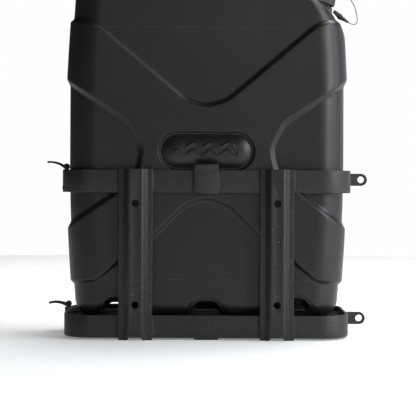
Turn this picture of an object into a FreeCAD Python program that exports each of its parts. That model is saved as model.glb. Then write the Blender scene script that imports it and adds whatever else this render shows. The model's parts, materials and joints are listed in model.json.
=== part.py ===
import FreeCAD, Part
import math
import os

from FreeCAD import Placement, Rotation, Vector

# A 20 litre blow-moulded water can in a two-ring steel holder.
# Millimetres. +X is to the right seen from the mounting side, +Y points away from the mounting side,
# +Z is up. The origin is on the ground, under the middle of the rings.

os.makedirs("parts", exist_ok=True)

# ---------------------------------------------------------------- driving dimensions
STRIP = 3.0                       # thickness of the ring strip, hinge leaves and ears
RING_HALF_DEPTH = 89.0            # outer half size of both rings along Y
RING_CORNER = 38.0                # outer corner radius of both rings
SPLIT_Y = 32.0                    # where the rear bands end and the front bows begin
UPPER = {"name": "upper", "half": 181.0, "bottom": 182.2, "top": 210.4, "hinge_x": -183.6,
         "ear_x": 202.0, "ear_z": 198.8, "lever_tilt": 12.0, "edge": 0.8}
LOWER = {"name": "lower", "half": 178.5, "bottom": 2.3, "top": 30.5, "hinge_x": -180.4,
         "ear_x": 200.0, "ear_z": 17.6, "lever_tilt": 2.0, "edge": 2.4}
RINGS = (UPPER, LOWER)
FAR = 300.0                       # reach of a cutting block that runs past everything

CHANNEL_X = 87.5                  # half the spacing of the mounting holes across
CHANNEL_TOP = 211.4
CHANNEL_SHEET = 2.5
CHANNEL_FLANGE = 21.0             # half width over the flanges
CHANNEL_CROWN = 8.6               # half width of the crown
CHANNEL_FOOT = 14.2               # half width where the slopes reach the flanges
CHANNEL_HEIGHT = 10.0
CROWN_INNER = 7.2                 # half width of the hollow behind the crown
FOOT_INNER = 12.5                 # half width of the hollow at the flanges
BEND_R = 0.8                      # inside bends of folded sheet
FLANGE_BEND_R = 2.0
CROWN_BEND_R = 3.0
BEVEL = 7.5                       # height of the bevel at an upright's lower end
BOLT_HOLE_R = 4.5
BOLT_HOLE_Z = (44.0, 169.0)

FLOOR_TOP = 24.0
FLOOR_GAP = 0.5                   # clearance between the floor plate and the lower bow
FLOOR_STEP_Y = 20.0               # from here forwards the floor plate keeps that clearance
FLOOR_CORNER = RING_CORNER - STRIP + 1.0
HINGE_RELIEF = (-168.0, 42.0)     # x and y to which the floor plate is cut away at the hinge
DRAIN_R = 6.0
DRAIN_X = (-120.0, -60.0, 60.0, 120.0)
DRAIN_Y = (-45.0, 45.0)
BEAM_HALF = 15.0                  # half width of the beam under the floor
BEAM_ENDS = (-85.0, 80.0)

HOOK_HALF = 15.0
HOOK_BOTTOM = 181.2
HOOK_BEND = 209.5
HOOK_REACH = 7.2                  # how far the lip stands out of the plate
HOOK_RISE = 8.5
HOOK_LIP = (2.3, 2.0)             # the lip's edge, forwards and down
HOOK_BEND_R = (2.0, 4.0)          # bend radii behind and in front

EAR_HALF = 8.0                    # half width and end radius of a lock ear
EAR_HOLE_R = 4.5
EAR_LEAF = 22.0
EAR_GAP = 0.6                     # between the two ears of a ring

KNUCKLE_R = 5.0
KNUCKLE_RELIEF = 0.5              # a leaf is cut this far round the other leaf's knuckles
HINGE_LEAF = 22.0
KNUCKLE_START = 7.5               # knuckles begin this far above the strip's lower edge
KNUCKLE_GAP = 0.3
HINGE_BOLT_R = 3.0
BORE_CLEARANCE = 0.05
STRIP_END_GAP = 7.0               # strip ends stop this far from the hinge axis

LEVER_HUB_R = 3.9
LEVER_HUB_GAP = 0.3
LEVER_HALF_WIDTH = 6.0
LEVER_LENGTH = 24.5               # from the pin to the middle of the tail's round tip
LEVER_ROOT = 2.0                  # the tail starts this far from the pin
LEVER_MIDDLE = 13.5
LEVER_TOP = (0.8, 3.2, 1.9)       # the tail's upper face at the root, the middle and the tip
LEVER_UNDER = (-3.4, 0.4, -0.7)   # its lower face at the same three places
LEVER_SLOT = 3.5                  # half width of the fork slot
LEVER_SLOT_END = 5.5
EYE_R = 3.4
EYE_HALF = 3.2
PIN_R = 1.5
PIN_HEAD_R = 2.4
PIN_HEAD = 0.8
PIN_FLOAT = 0.1                   # gap between the lever and a pin head
NUT_FLATS = 10.0
NUT_HEIGHT = 5.0
NUT_GAP = 0.2
BOLT_TAIL = 1.5                   # bolt standing out under the nut

WALL = 3.0                        # wall of the can
CAN_REACH = 100.0                 # half depth of the prisms that shape the can
CAN_CORNER = 35.0                 # vertical corner radius
RELIEF = 3.5                      # how far the ribs stand in front of the panels
PANEL_HALF_DEPTH = 79.0
# z, half width, half depth of the can at the level of its recessed panels
PANEL_SECTIONS = ((24.0, 157.0, 71.0), (32.0, 163.5, 77.0), (43.0, 164.8, PANEL_HALF_DEPTH),
                  (166.0, 172.2, PANEL_HALF_DEPTH), (217.0, 173.1, PANEL_HALF_DEPTH),
                  (320.0, 173.1, PANEL_HALF_DEPTH), (470.0, 163.6, PANEL_HALF_DEPTH))
RIB_HALF_DEPTH = PANEL_HALF_DEPTH + RELIEF
# z, half width of the can at the level of its ribs
RIB_SECTIONS = ((50.0, 169.5), (135.0, 176.3), (330.0, 176.8), (410.0, 173.2))
CAN_TOP = 458.0
SHOULDER = ((167.0, 406.3), (79.0, CAN_TOP))    # the straight slope that the neck stands on
SHOULDER_R = (25.0, 40.0)         # rounding below and above that slope
LEFT_SHOULDER_R = 28.0
TOP_EDGE_R = 16.0                 # rounding of the top's long edges
SIDE_LEVEL = 382.0                # the crown's outline meets the can's sides here
CROWN_SIDE = 169.3                # half width of the crown's outline at that level
CROWN_TOP_SIDE = 165.6            # and of its left side at the can's top
GROOVE_START = 20.0               # below the can
# half outline of the raised cross, from the top of its axis round the right side to the bottom
CROSS = ((0.0, 290.0, 30.0), (26.0, 297.6, 40.0), (140.0, 394.0, 60.0), (166.0, 398.0, 0.0),
         (200.0, 400.0, 0.0), (200.0, 337.0, 0.0), (170.0, 317.0, 0.0), (97.0, 269.5, 30.0),
         (80.0, 238.0, 30.0), (86.0, 210.0, 25.0), (116.0, 179.3, 30.0), (170.0, 143.0, 0.0),
         (200.0, 123.0, 0.0), (200.0, 67.0, 0.0), (166.0, 69.0, 0.0), (136.0, 73.0, 25.0),
         (109.0, 96.0, 60.0), (66.5, 127.5, 60.0), (27.0, 167.0, 40.0), (0.0, 175.5, 30.0))
GROOVE_X = 109.0
GROOVE_TOPS = {-GROOVE_X: 46.0, 0.0: 42.0, GROOVE_X: 46.0}
GROOVE_MOUTH = 25.0               # half width at the ground
GROOVE_CREST = 12.0               # half width at the top

GRIP_TOP = 494.0
GRIP_GAP = (-104.0, 38.0, 436.0, 472.0)         # x from, x to, z from, z to of the hand gap
GRIP_FOOT = 28.0                  # how far the grips' feet reach beyond the gap
GRIP_HALF_DEPTH = 62.0
GRIP_SLOT_Y = 26.0
GRIP_SLOT_HALF = 14.0
GRIP_SLOT_FLOOR = 460.0
GRIP_BURY = 8.0                   # depth of the grips' feet in the can's top
GRIP_EDGE_R = 14.0
GAP_FLOOR_R = 12.0
GAP_CEILING_R = 10.0

NECK_TILT = 10.0                  # degrees from vertical, towards +X
SEAT = Vector(129.1, 0.0, 425.6)  # middle of the flat seat round the neck
SEAT_R = 38.0
PEDESTAL_R = 33.0
NECK_R = 29.0
NECK_BORE_R = 25.0
NECK_HEIGHT = 26.0
NECK_BURY = 4.0
PEDESTAL_BURY = 26.0
BORE_BURY = 35.0
THREAD_LEAD = 6.0
THREAD_DEPTH = 2.4
THREAD_TURNS = 2.0
THREAD_START = 9.0                # height of the first turn above the seat
THREAD_ROOT_HALF = 1.3
THREAD_CREST_HALF = 0.6
THREAD_BURY = 0.4

CAP_LIFT = 2.5                    # skirt edge above the seat
CAP_R = 35.0
CAP_INNER_R = 32.0
CAP_GROOVE_R = 33.5
CAP_SKIRT = 24.0                  # height of the skirt below the collar groove
CAP_GROOVE = 3.0
CAP_TOTAL = 30.5
CAP_THREAD_TURNS = 1.5
CAP_UPPER_R = 29.8                # inside radius above the cap's thread
CAP_THREAD_ROOM = 20.0            # height of the wide part of the cap's hollow
GASKET = 1.8
GASKET_R = 28.8
GASKET_BORE_R = 24.5
COLLAR_R = 37.0
COLLAR_CLEARANCE = 0.4
COLLAR_GAP = 0.3                  # above and below the collar in its groove
COLLAR_HEIGHT = CAP_GROOVE - 2 * COLLAR_GAP
COLLAR_EYE = 46.0                 # distance of the lanyard eye from the cap's axis

CABLE_R = 0.6
CABLE_ROUNDING = 0.45             # share of the shorter run that a rounded corner of the cable may use
ANCHOR = Vector(165.6, -40.0, 406.6)            # where the lanyard leaves the can's shoulder
ANCHOR_AXIS = Vector(0.84, 0.0, -0.54)
ANCHOR_R = 4.0
ANCHOR_STAND = 3.5
ANCHOR_BURY = 8.0
FERRULE_R = 3.1
FERRULE_TIP_R = 1.1
FERRULE_LENGTH = 12.0
LUG_AZIMUTH = -40.0               # direction of the collar's lug about the neck
LUG_HALF = 4.0
END_FERRULE_R = 1.5
END_FERRULE_LENGTH = 9.0
END_FERRULE_BURY = 2.0            # start of the sleeve above the lug's underside, before the cut
END_FERRULE_AXIS = Vector(0.55, -0.25, -0.80)
# the lanyard's loose route between its two ferrules
CABLE_ROUTE = (Vector(183.9, -40.0, 394.8), Vector(189.8, -39.6, 396.8), Vector(190.0, -38.6, 404.8),
               Vector(187.6, -37.4, 416.5), Vector(182.8, -35.6, 426.4), Vector(176.9, -33.4, 433.7))


# ---------------------------------------------------------------- helpers
def box(x0, x1, y0, y1, z0, z1):
    return Part.makeBox(x1 - x0, y1 - y0, z1 - z0, Vector(x0, y0, z0))


def vertical(radius, x, y, z0, z1):
    return Part.makeCylinder(radius, z1 - z0, Vector(x, y, z0))


def along_y(radius, x, y0, y1, z):
    return Part.makeCylinder(radius, y1 - y0, Vector(x, y0, z), Vector(0, 1, 0))


def rounded_outline(corners, to_space):
    """Closed wire through corners (u, v, radius), each rounded by an arc of its radius."""
    count = len(corners)
    edges = []
    last_end = None
    first_start = None
    for index in range(count):
        corner = Vector(corners[index][0], corners[index][1], 0)
        radius = corners[index][2]
        before = Vector(corners[index - 1][0], corners[index - 1][1], 0) - corner
        after = Vector(corners[(index + 1) % count][0], corners[(index + 1) % count][1], 0) - corner
        before.normalize()
        after.normalize()
        half_angle = before.getAngle(after) / 2
        trim = radius / math.tan(half_angle) if radius else 0.0
        start = corner + before * trim
        end = corner + after * trim
        if last_end is not None:
            edges.append(Part.LineSegment(to_space(last_end), to_space(start)).toShape())
        else:
            first_start = start
        if radius:
            inward = before + after
            inward.normalize()
            middle = corner + inward * (radius / math.sin(half_angle) - radius)
            edges.append(Part.Arc(to_space(start), to_space(middle), to_space(end)).toShape())
        last_end = end
    edges.append(Part.LineSegment(to_space(last_end), to_space(first_start)).toShape())
    return Part.Wire(edges)


def prism_along_y(corners, y0, y1, grow=0.0):
    """Prism of an XZ outline between two Y values, its outline grown or shrunk by an offset."""
    face = Part.Face(rounded_outline(corners, lambda p: Vector(p.x, y0, p.y)))
    if grow:
        face = face.makeOffset2D(grow, join=2)
    return face.extrude(Vector(0, y1 - y0, 0))


def prism_along_x(corners, x0, x1):
    face = Part.Face(rounded_outline(corners, lambda p: Vector(x0, p.x, p.y)))
    return face.extrude(Vector(x1 - x0, 0, 0))


def slab(x0, x1, y0, y1):
    """Cutting block over the whole height."""
    return box(x0, x1, y0, y1, -FAR, FAR)


def rounded_section(half_x, half_y, radius, z):
    corners = [(half_x, half_y, radius), (-half_x, half_y, radius),
               (-half_x, -half_y, radius), (half_x, -half_y, radius)]
    return rounded_outline(corners, lambda p: Vector(p.x, p.y, z))


def ring_strip(ring):
    """The full closed ring of a band, before it is split into a rear band and a front bow."""
    half = ring["half"]
    height = ring["top"] - ring["bottom"]
    outer = Part.Face(rounded_section(half, RING_HALF_DEPTH, RING_CORNER, ring["bottom"]))
    inner = Part.Face(rounded_section(half - STRIP, RING_HALF_DEPTH - STRIP,
                                      RING_CORNER - STRIP, ring["bottom"]))
    outer = outer.extrude(Vector(0, 0, height))
    low_edges = [edge for edge in outer.Edges if edge.BoundBox.ZMax < ring["bottom"] + STRIP / 2]
    outer = outer.makeFillet(ring["edge"], low_edges)
    return outer.cut(inner.extrude(Vector(0, 0, height)))


def neck_place():
    return Placement(SEAT, Rotation(Vector(0, 1, 0), NECK_TILT))


def on_neck(shape):
    """Move a shape that is built on the Z axis onto the tilted neck, with z = 0 at the seat."""
    moved = shape.copy()
    moved.Placement = neck_place().multiply(shape.Placement)
    return moved


def thread_ridge(root_r, crest_r, z0, turns, start_angle=0.0):
    """A helical ridge from a root radius to a crest radius, of trapezoid section."""
    buried_r = root_r - math.copysign(THREAD_BURY, crest_r - root_r)
    helix = Part.makeHelix(THREAD_LEAD, THREAD_LEAD * turns, root_r)
    corners = [Vector(buried_r, 0, -THREAD_ROOT_HALF), Vector(crest_r, 0, -THREAD_CREST_HALF),
               Vector(crest_r, 0, THREAD_CREST_HALF), Vector(buried_r, 0, THREAD_ROOT_HALF)]
    profile = Part.makePolygon(corners + corners[:1])
    ridge = Part.Wire(helix).makePipeShell([profile], True, True)
    ridge.rotate(Vector(0, 0, 0), Vector(0, 0, 1), start_angle)
    ridge.translate(Vector(0, 0, z0))
    return ridge


def save(name, shape):
    solids = shape.Solids
    kept = solids[0] if len(solids) == 1 else Part.makeCompound(solids)
    kept.exportStep(os.path.join("parts", name + ".step"))
    box_now = kept.BoundBox
    print("%-22s solids %d valid %s volume %.0f  x %.1f..%.1f y %.1f..%.1f z %.1f..%.1f" % (
        name, len(solids), kept.isValid(), kept.Volume, box_now.XMin, box_now.XMax,
        box_now.YMin, box_now.YMax, box_now.ZMin, box_now.ZMax))


# ---------------------------------------------------------------- holder
def rear_band(ring):
    """The part of the ring on the mounting side, with a gap at the hinge and at the ears."""
    strip = ring_strip(ring)
    keep = slab(-FAR, 0, -FAR, SPLIT_Y - STRIP_END_GAP)
    keep = keep.fuse(slab(0, FAR, -FAR, SPLIT_Y))
    return strip.common(keep)


def front_bow(ring):
    strip = ring_strip(ring)
    keep = slab(-FAR, 0, SPLIT_Y + STRIP_END_GAP, FAR)
    keep = keep.fuse(slab(0, FAR, SPLIT_Y + EAR_GAP, FAR))
    return strip.common(keep)


def lock_ear(ring, side):
    """Bent lug: a leaf welded to the strip and a flat ear with a hole. side -1 is on the rear band."""
    x_band = ring["half"]
    z0 = ring["ear_z"] - EAR_HALF
    z1 = ring["ear_z"] + EAR_HALF
    if side < 0:
        y0 = SPLIT_Y - STRIP
        y1 = SPLIT_Y
        leaf = box(x_band, x_band + STRIP, SPLIT_Y - EAR_LEAF, SPLIT_Y, z0, z1)
    else:
        y0 = SPLIT_Y + EAR_GAP
        y1 = y0 + STRIP
        leaf = box(x_band, x_band + STRIP, y0, y0 + EAR_LEAF, z0, z1)
    plate = box(x_band, ring["ear_x"], y0, y1, z0, z1)
    end = along_y(EAR_HALF, ring["ear_x"], y0, y1, ring["ear_z"])
    hole = along_y(EAR_HOLE_R, ring["ear_x"], y0 - 1, y1 + 1, ring["ear_z"])
    return leaf.fuse([plate, end]).cut(hole).removeSplitter()


def knuckle_levels(ring):
    """Heights of the three knuckles, from the lowest up: frame, bow, frame."""
    low = ring["bottom"] + KNUCKLE_START
    third = (ring["top"] - low) / 3
    return [(low + third * step, low + third * (step + 1)) for step in range(3)]


def hinge_leaf(ring, side):
    """Leaf with its knuckles. side -1 is the frame's (two knuckles), +1 the bow's (one knuckle)."""
    x = ring["hinge_x"]
    levels = knuckle_levels(ring)
    own = [levels[0], levels[2]] if side < 0 else [levels[1]]
    others = [levels[1]] if side < 0 else [levels[0], levels[2]]
    y_end = SPLIT_Y + side * HINGE_LEAF
    leaf = box(-ring["half"] - STRIP, -ring["half"], min(SPLIT_Y, y_end), max(SPLIT_Y, y_end),
               levels[0][0], levels[2][1])
    for z0, z1 in own:
        leaf = leaf.fuse(vertical(KNUCKLE_R, x, SPLIT_Y, z0, z1))
    for z0, z1 in others:
        below = KNUCKLE_GAP if z0 > levels[0][0] else 1.0
        above = KNUCKLE_GAP if z1 < levels[2][1] else 1.0
        leaf = leaf.cut(vertical(KNUCKLE_R + KNUCKLE_RELIEF, x, SPLIT_Y, z0 - below, z1 + above))
    bore = vertical(HINGE_BOLT_R + BORE_CLEARANCE, x, SPLIT_Y, levels[0][0] - 1, levels[2][1] + 1)
    return leaf.cut(bore).removeSplitter()


def hub_height(ring):
    return ring["top"] + LEVER_HUB_GAP + LEVER_HUB_R


def hinge_bolt(ring):
    """Eye bolt: the shaft runs down through the knuckles and the nut."""
    x = ring["hinge_x"]
    z_hub = hub_height(ring)
    z_low = ring["bottom"] + KNUCKLE_START - NUT_GAP - NUT_HEIGHT - BOLT_TAIL
    shaft = vertical(HINGE_BOLT_R, x, SPLIT_Y, z_low, z_hub)
    eye = along_y(EYE_R, x, SPLIT_Y - EYE_HALF, SPLIT_Y + EYE_HALF, z_hub)
    hole = along_y(PIN_R + BORE_CLEARANCE, x, SPLIT_Y - 2 * EYE_HALF, SPLIT_Y + 2 * EYE_HALF, z_hub)
    return shaft.fuse(eye).cut(hole).removeSplitter()


def hinge_nut(ring):
    z_top = ring["bottom"] + KNUCKLE_START - NUT_GAP
    radius = NUT_FLATS / math.sqrt(3)
    corners = [Vector(ring["hinge_x"] + radius * math.cos(math.radians(60 * step)),
                      SPLIT_Y + radius * math.sin(math.radians(60 * step)), z_top - NUT_HEIGHT)
               for step in range(6)]
    body = Part.Face(Part.makePolygon(corners + corners[:1])).extrude(Vector(0, 0, NUT_HEIGHT))
    bore = vertical(HINGE_BOLT_R + BORE_CLEARANCE, ring["hinge_x"], SPLIT_Y,
                    z_top - NUT_HEIGHT - BOLT_TAIL, z_top + BOLT_TAIL)
    return body.cut(bore)


def lever_pin(ring):
    x = ring["hinge_x"]
    z = hub_height(ring)
    face = LEVER_HALF_WIDTH + PIN_FLOAT
    pin = along_y(PIN_R, x, SPLIT_Y - face, SPLIT_Y + face, z)
    near_head = along_y(PIN_HEAD_R, x, SPLIT_Y - face - PIN_HEAD, SPLIT_Y - face, z)
    far_head = along_y(PIN_HEAD_R, x, SPLIT_Y + face, SPLIT_Y + face + PIN_HEAD, z)
    return pin.fuse([near_head, far_head]).removeSplitter()


def cam_lever(ring):
    """Fork-ended lever: a hub round the pin and a slender arched tail that points to -X."""
    stations = (LEVER_ROOT, LEVER_MIDDLE, LEVER_LENGTH)
    upper = [Vector(x, -LEVER_HALF_WIDTH, z) for x, z in zip(stations, LEVER_TOP)]
    under = [Vector(x, -LEVER_HALF_WIDTH, z) for x, z in zip(stations, LEVER_UNDER)]
    tip_r = (LEVER_TOP[-1] - LEVER_UNDER[-1]) / 2
    tip_z = (LEVER_TOP[-1] + LEVER_UNDER[-1]) / 2
    edges = [Part.Arc(*upper).toShape(),
             Part.LineSegment(upper[-1], under[-1]).toShape(),
             Part.Arc(*reversed(under)).toShape(),
             Part.LineSegment(under[0], upper[0]).toShape()]
    tail = Part.Face(Part.Wire(edges)).extrude(Vector(0, 2 * LEVER_HALF_WIDTH, 0))
    tip = along_y(tip_r, LEVER_LENGTH, -LEVER_HALF_WIDTH, LEVER_HALF_WIDTH, tip_z)
    hub = along_y(LEVER_HUB_R, 0, -LEVER_HALF_WIDTH, LEVER_HALF_WIDTH, 0)
    lever = hub.fuse([tail, tip])
    slot = box(-2 * LEVER_HUB_R, LEVER_SLOT_END, -LEVER_SLOT, LEVER_SLOT, -2 * LEVER_HUB_R, 2 * LEVER_HUB_R)
    hole = along_y(PIN_R + BORE_CLEARANCE, 0, -2 * LEVER_HALF_WIDTH, 2 * LEVER_HALF_WIDTH, 0)
    lever = lever.cut([slot, hole])
    lever.rotate(Vector(0, 0, 0), Vector(0, 0, 1), 180)
    lever.rotate(Vector(0, 0, 0), Vector(0, 1, 0), ring["lever_tilt"])
    lever.translate(Vector(ring["hinge_x"], SPLIT_Y, hub_height(ring)))
    return lever


def channel(centre_x):
    """Hat-section upright with two bolt holes and a bevelled lower end."""
    back = -RING_HALF_DEPTH
    front = back - CHANNEL_HEIGHT
    knee = back - CHANNEL_SHEET
    half = [(CHANNEL_FLANGE, back, 0), (CHANNEL_FLANGE, knee, BEND_R),
            (CHANNEL_FOOT, knee, FLANGE_BEND_R), (CHANNEL_CROWN, front, CROWN_BEND_R)]
    inner = [(CROWN_INNER, front + CHANNEL_SHEET, BEND_R), (FOOT_INNER, back, 0)]
    outline = half + [(-x, y, r) for x, y, r in reversed(half)]
    outline += [(-x, y, r) for x, y, r in reversed(inner)] + inner
    wire = rounded_outline(outline, lambda p: Vector(centre_x + p.x, p.y, 0))
    body = Part.Face(wire).extrude(Vector(0, 0, CHANNEL_TOP))
    bevel = prism_along_x([(front - 1, BEVEL, 0), (front - 1, -1, 0), (knee - 1, -1, 0)],
                          centre_x - CHANNEL_FLANGE - 1, centre_x + CHANNEL_FLANGE + 1)
    body = body.cut(bevel)
    for z in BOLT_HOLE_Z:
        body = body.cut(along_y(BOLT_HOLE_R, centre_x, front - 1, front + CHANNEL_SHEET + 1, z))
    return body


def floor_plate():
    """Plate inside the lower ring, touching the rear band and clear of the front bow."""
    half = LOWER["half"] - STRIP
    depth = RING_HALF_DEPTH - STRIP
    z0 = FLOOR_TOP - STRIP
    rear = Part.Face(rounded_section(half, depth, FLOOR_CORNER, z0)).extrude(Vector(0, 0, STRIP))
    rear = rear.common(slab(-FAR, FAR, -FAR, FLOOR_STEP_Y))
    front = Part.Face(rounded_section(half - FLOOR_GAP, depth - FLOOR_GAP, FLOOR_CORNER, z0))
    front = front.extrude(Vector(0, 0, STRIP)).common(slab(-FAR, FAR, FLOOR_STEP_Y, FAR))
    front = front.cut(slab(-FAR, HINGE_RELIEF[0], FLOOR_STEP_Y, HINGE_RELIEF[1]))
    plate = rear.fuse(front).removeSplitter()
    for x in DRAIN_X:
        for y in DRAIN_Y:
            plate = plate.cut(vertical(DRAIN_R, x, y, 0, 2 * FLOOR_TOP))
    return plate


def floor_beam():
    """Folded channel beam under the middle of the floor plate. It stands on the ground."""
    top = FLOOR_TOP - STRIP
    y0, y1 = BEAM_ENDS
    outer = box(-BEAM_HALF, BEAM_HALF, y0, y1, 0, top)
    inner = box(-BEAM_HALF + STRIP, BEAM_HALF - STRIP, y0 - 1, y1 + 1, STRIP, top + 1)
    return outer.cut(inner)


def strap_hook():
    """Clip welded to the upper band, its lip bent out and up."""
    back = -RING_HALF_DEPTH
    front = back - STRIP
    lip_y = back - HOOK_REACH
    lip_z = HOOK_BEND + HOOK_RISE
    corners = [(back, HOOK_BOTTOM, 0), (back, HOOK_BEND, HOOK_BEND_R[0]), (lip_y, lip_z, 0),
               (lip_y - HOOK_LIP[0], lip_z - HOOK_LIP[1], 0),
               (front, HOOK_BEND - STRIP / 2, HOOK_BEND_R[1]), (front, HOOK_BOTTOM, 0)]
    return prism_along_x(corners, -HOOK_HALF, HOOK_HALF)


# ---------------------------------------------------------------- can
def section_loft(sections, inset):
    """Tapered prism through rounded rectangles, each shrunk by the inset."""
    last = len(sections) - 1
    wires = []
    for index, (z, half_x, half_y) in enumerate(sections):
        level = z + inset if index == 0 else z - (inset if index == last else 0)
        wires.append(rounded_section(half_x - inset, half_y - inset, CAN_CORNER - inset, level))
    return Part.makeLoft(wires, True, True)


def crown_prism(inset):
    """Side view of the can's top: left shoulder, flat top, slope and right shoulder."""
    corners = [(-FAR, 0, 0), (FAR, 0, 0), (FAR, SIDE_LEVEL - 1, 0), (CROWN_SIDE, SIDE_LEVEL, 0),
               (*SHOULDER[0], SHOULDER_R[0]), (*SHOULDER[1], SHOULDER_R[1]),
               (-CROWN_TOP_SIDE, CAN_TOP, LEFT_SHOULDER_R), (-CROWN_SIDE, SIDE_LEVEL, 0),
               (-FAR, SIDE_LEVEL - 1, 0)]
    return prism_along_y(corners, -CAN_REACH, CAN_REACH, -inset)


def end_prism(inset):
    """End view of the can's top, with rounded edges."""
    half = PANEL_HALF_DEPTH - inset
    round_r = TOP_EDGE_R - inset
    return prism_along_x([(-CAN_REACH, 0, 0), (CAN_REACH, 0, 0), (CAN_REACH, SHOULDER[0][1] - 1, 0),
                          (half, SHOULDER[0][1], 0), (half, CAN_TOP - inset, round_r),
                          (-half, CAN_TOP - inset, round_r), (-half, SHOULDER[0][1], 0),
                          (-CAN_REACH, SHOULDER[0][1] - 1, 0)], -FAR, FAR)


def cross_prism(inset):
    """The raised cross seen from the front, through the whole depth of the can."""
    left = [(-x, z, r) for x, z, r in reversed(CROSS[1:-1])]
    return prism_along_y(list(CROSS) + left, -CAN_REACH, CAN_REACH, -inset)


def shell_form(inset):
    """Outer form of the can (inset 0) or the form of its hollow (inset = wall)."""
    panels = section_loft(PANEL_SECTIONS, inset).common(crown_prism(inset)).common(end_prism(inset))
    rib_sections = [(z, half, RIB_HALF_DEPTH) for z, half in RIB_SECTIONS]
    ribs = section_loft(rib_sections, inset).common(cross_prism(inset))
    form = panels.fuse(ribs)
    for x, top in GROOVE_TOPS.items():
        groove = [(x - GROOVE_MOUTH - inset, GROOVE_START, 0), (x + GROOVE_MOUTH + inset, GROOVE_START, 0),
                  (x + GROOVE_CREST + inset, top + inset, 0), (x - GROOVE_CREST - inset, top + inset, 0)]
        form = form.cut(prism_along_y(groove, -CAN_REACH, CAN_REACH))
    x0, x1, z0, z1 = GRIP_GAP
    gap = [(x0, z0, GAP_FLOOR_R), (x1, z0, GAP_FLOOR_R), (x1, z1 + GAP_FLOOR_R, 0), (x0, z1 + GAP_FLOOR_R, 0)]
    form = form.cut(prism_along_y(gap, -CAN_REACH, CAN_REACH, inset))
    seat_cut = Part.makeCylinder(SEAT_R + inset, 2 * SEAT_R, Vector(0, 0, -inset))
    return form.cut(on_neck(seat_cut))


def grips():
    """Three carrying grips side by side above the hand gap."""
    x0, x1, z0, z1 = GRIP_GAP
    foot_z = CAN_TOP - GRIP_BURY
    outline = [(x0 - GRIP_FOOT, foot_z, 0), (x0 - GRIP_BURY, GRIP_TOP, GRIP_EDGE_R),
               (x1 + GRIP_BURY, GRIP_TOP, GRIP_EDGE_R), (x1 + GRIP_FOOT, foot_z, 0)]
    block = prism_along_y(outline, -GRIP_HALF_DEPTH, GRIP_HALF_DEPTH)
    gap = [(x0, z0, GAP_FLOOR_R), (x1, z0, GAP_FLOOR_R), (x1, z1, GAP_CEILING_R), (x0, z1, GAP_CEILING_R)]
    block = block.cut(prism_along_y(gap, -CAN_REACH, CAN_REACH))
    for y in (-GRIP_SLOT_Y, GRIP_SLOT_Y):
        slot = box(x0 - 2 * GRIP_FOOT, x1 + 2 * GRIP_FOOT, y - GRIP_SLOT_HALF, y + GRIP_SLOT_HALF,
                   GRIP_SLOT_FLOOR, 2 * GRIP_TOP)
        block = block.cut(slot)
    return block


def tank_body():
    pedestal = on_neck(Part.makeCylinder(PEDESTAL_R, PEDESTAL_BURY, Vector(0, 0, -PEDESTAL_BURY)))
    neck = on_neck(Part.makeCylinder(NECK_R, NECK_HEIGHT + NECK_BURY, Vector(0, 0, -NECK_BURY)))
    ridge = on_neck(thread_ridge(NECK_R, NECK_R + THREAD_DEPTH, THREAD_START, THREAD_TURNS))
    hollow = shell_form(WALL)
    bore = on_neck(Part.makeCylinder(NECK_BORE_R, 2 * BORE_BURY, Vector(0, 0, -BORE_BURY)))
    outer = shell_form(0.0).fuse(grips()).fuse(pedestal.cut(hollow)).fuse(neck)
    return outer.cut(hollow).cut(bore).fuse(ridge)


# ---------------------------------------------------------------- cap and lanyard
def filler_cap():
    """Screw cap with a collar groove near its top and a thread inside."""
    groove_z = CAP_LIFT + CAP_SKIRT
    ceiling = NECK_HEIGHT + GASKET
    body = Part.makeCylinder(CAP_R, CAP_TOTAL, Vector(0, 0, CAP_LIFT))
    groove = Part.makeCylinder(COLLAR_R, CAP_GROOVE, Vector(0, 0, groove_z))
    core = Part.makeCylinder(CAP_GROOVE_R, CAP_GROOVE, Vector(0, 0, groove_z))
    body = body.cut(groove.cut(core))
    hollow = Part.makeCylinder(CAP_UPPER_R, ceiling - CAP_LIFT, Vector(0, 0, CAP_LIFT))
    wide = Part.makeCylinder(CAP_INNER_R, CAP_THREAD_ROOM, Vector(0, 0, CAP_LIFT))
    body = body.cut(hollow).cut(wide)
    ridge = thread_ridge(CAP_INNER_R, CAP_INNER_R - THREAD_DEPTH, THREAD_START, CAP_THREAD_TURNS, 180.0)
    return on_neck(body.fuse(ridge))


def cap_gasket():
    ring = Part.makeCylinder(GASKET_R, GASKET, Vector(0, 0, NECK_HEIGHT))
    return on_neck(ring.cut(Part.makeCylinder(GASKET_BORE_R, 3 * GASKET, Vector(0, 0, NECK_HEIGHT - GASKET))))


def collar_underside():
    return CAP_LIFT + CAP_SKIRT + COLLAR_GAP


def cap_collar():
    """Ring that stays still while the cap turns, with a lug for the lanyard."""
    z0 = collar_underside()
    ring = Part.makeCylinder(COLLAR_R, COLLAR_HEIGHT, Vector(0, 0, z0))
    lug = box(CAP_R, COLLAR_EYE, -LUG_HALF, LUG_HALF, z0, z0 + COLLAR_HEIGHT)
    lug = lug.fuse(vertical(LUG_HALF, COLLAR_EYE, 0, z0, z0 + COLLAR_HEIGHT))
    lug.rotate(Vector(0, 0, 0), Vector(0, 0, 1), LUG_AZIMUTH)
    bore = Part.makeCylinder(CAP_GROOVE_R + COLLAR_CLEARANCE, 2 * COLLAR_HEIGHT, Vector(0, 0, z0 - 1))
    return on_neck(ring.fuse(lug).cut(bore).removeSplitter())


def lug_point():
    """The point under the collar's lug where the lanyard's end ferrule meets it."""
    angle = math.radians(LUG_AZIMUTH)
    local = Vector(COLLAR_EYE * math.cos(angle), COLLAR_EYE * math.sin(angle), collar_underside())
    return neck_place().multVec(local)


def end_ferrule_axis():
    axis = Vector(END_FERRULE_AXIS)
    axis.normalize()
    return axis


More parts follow.
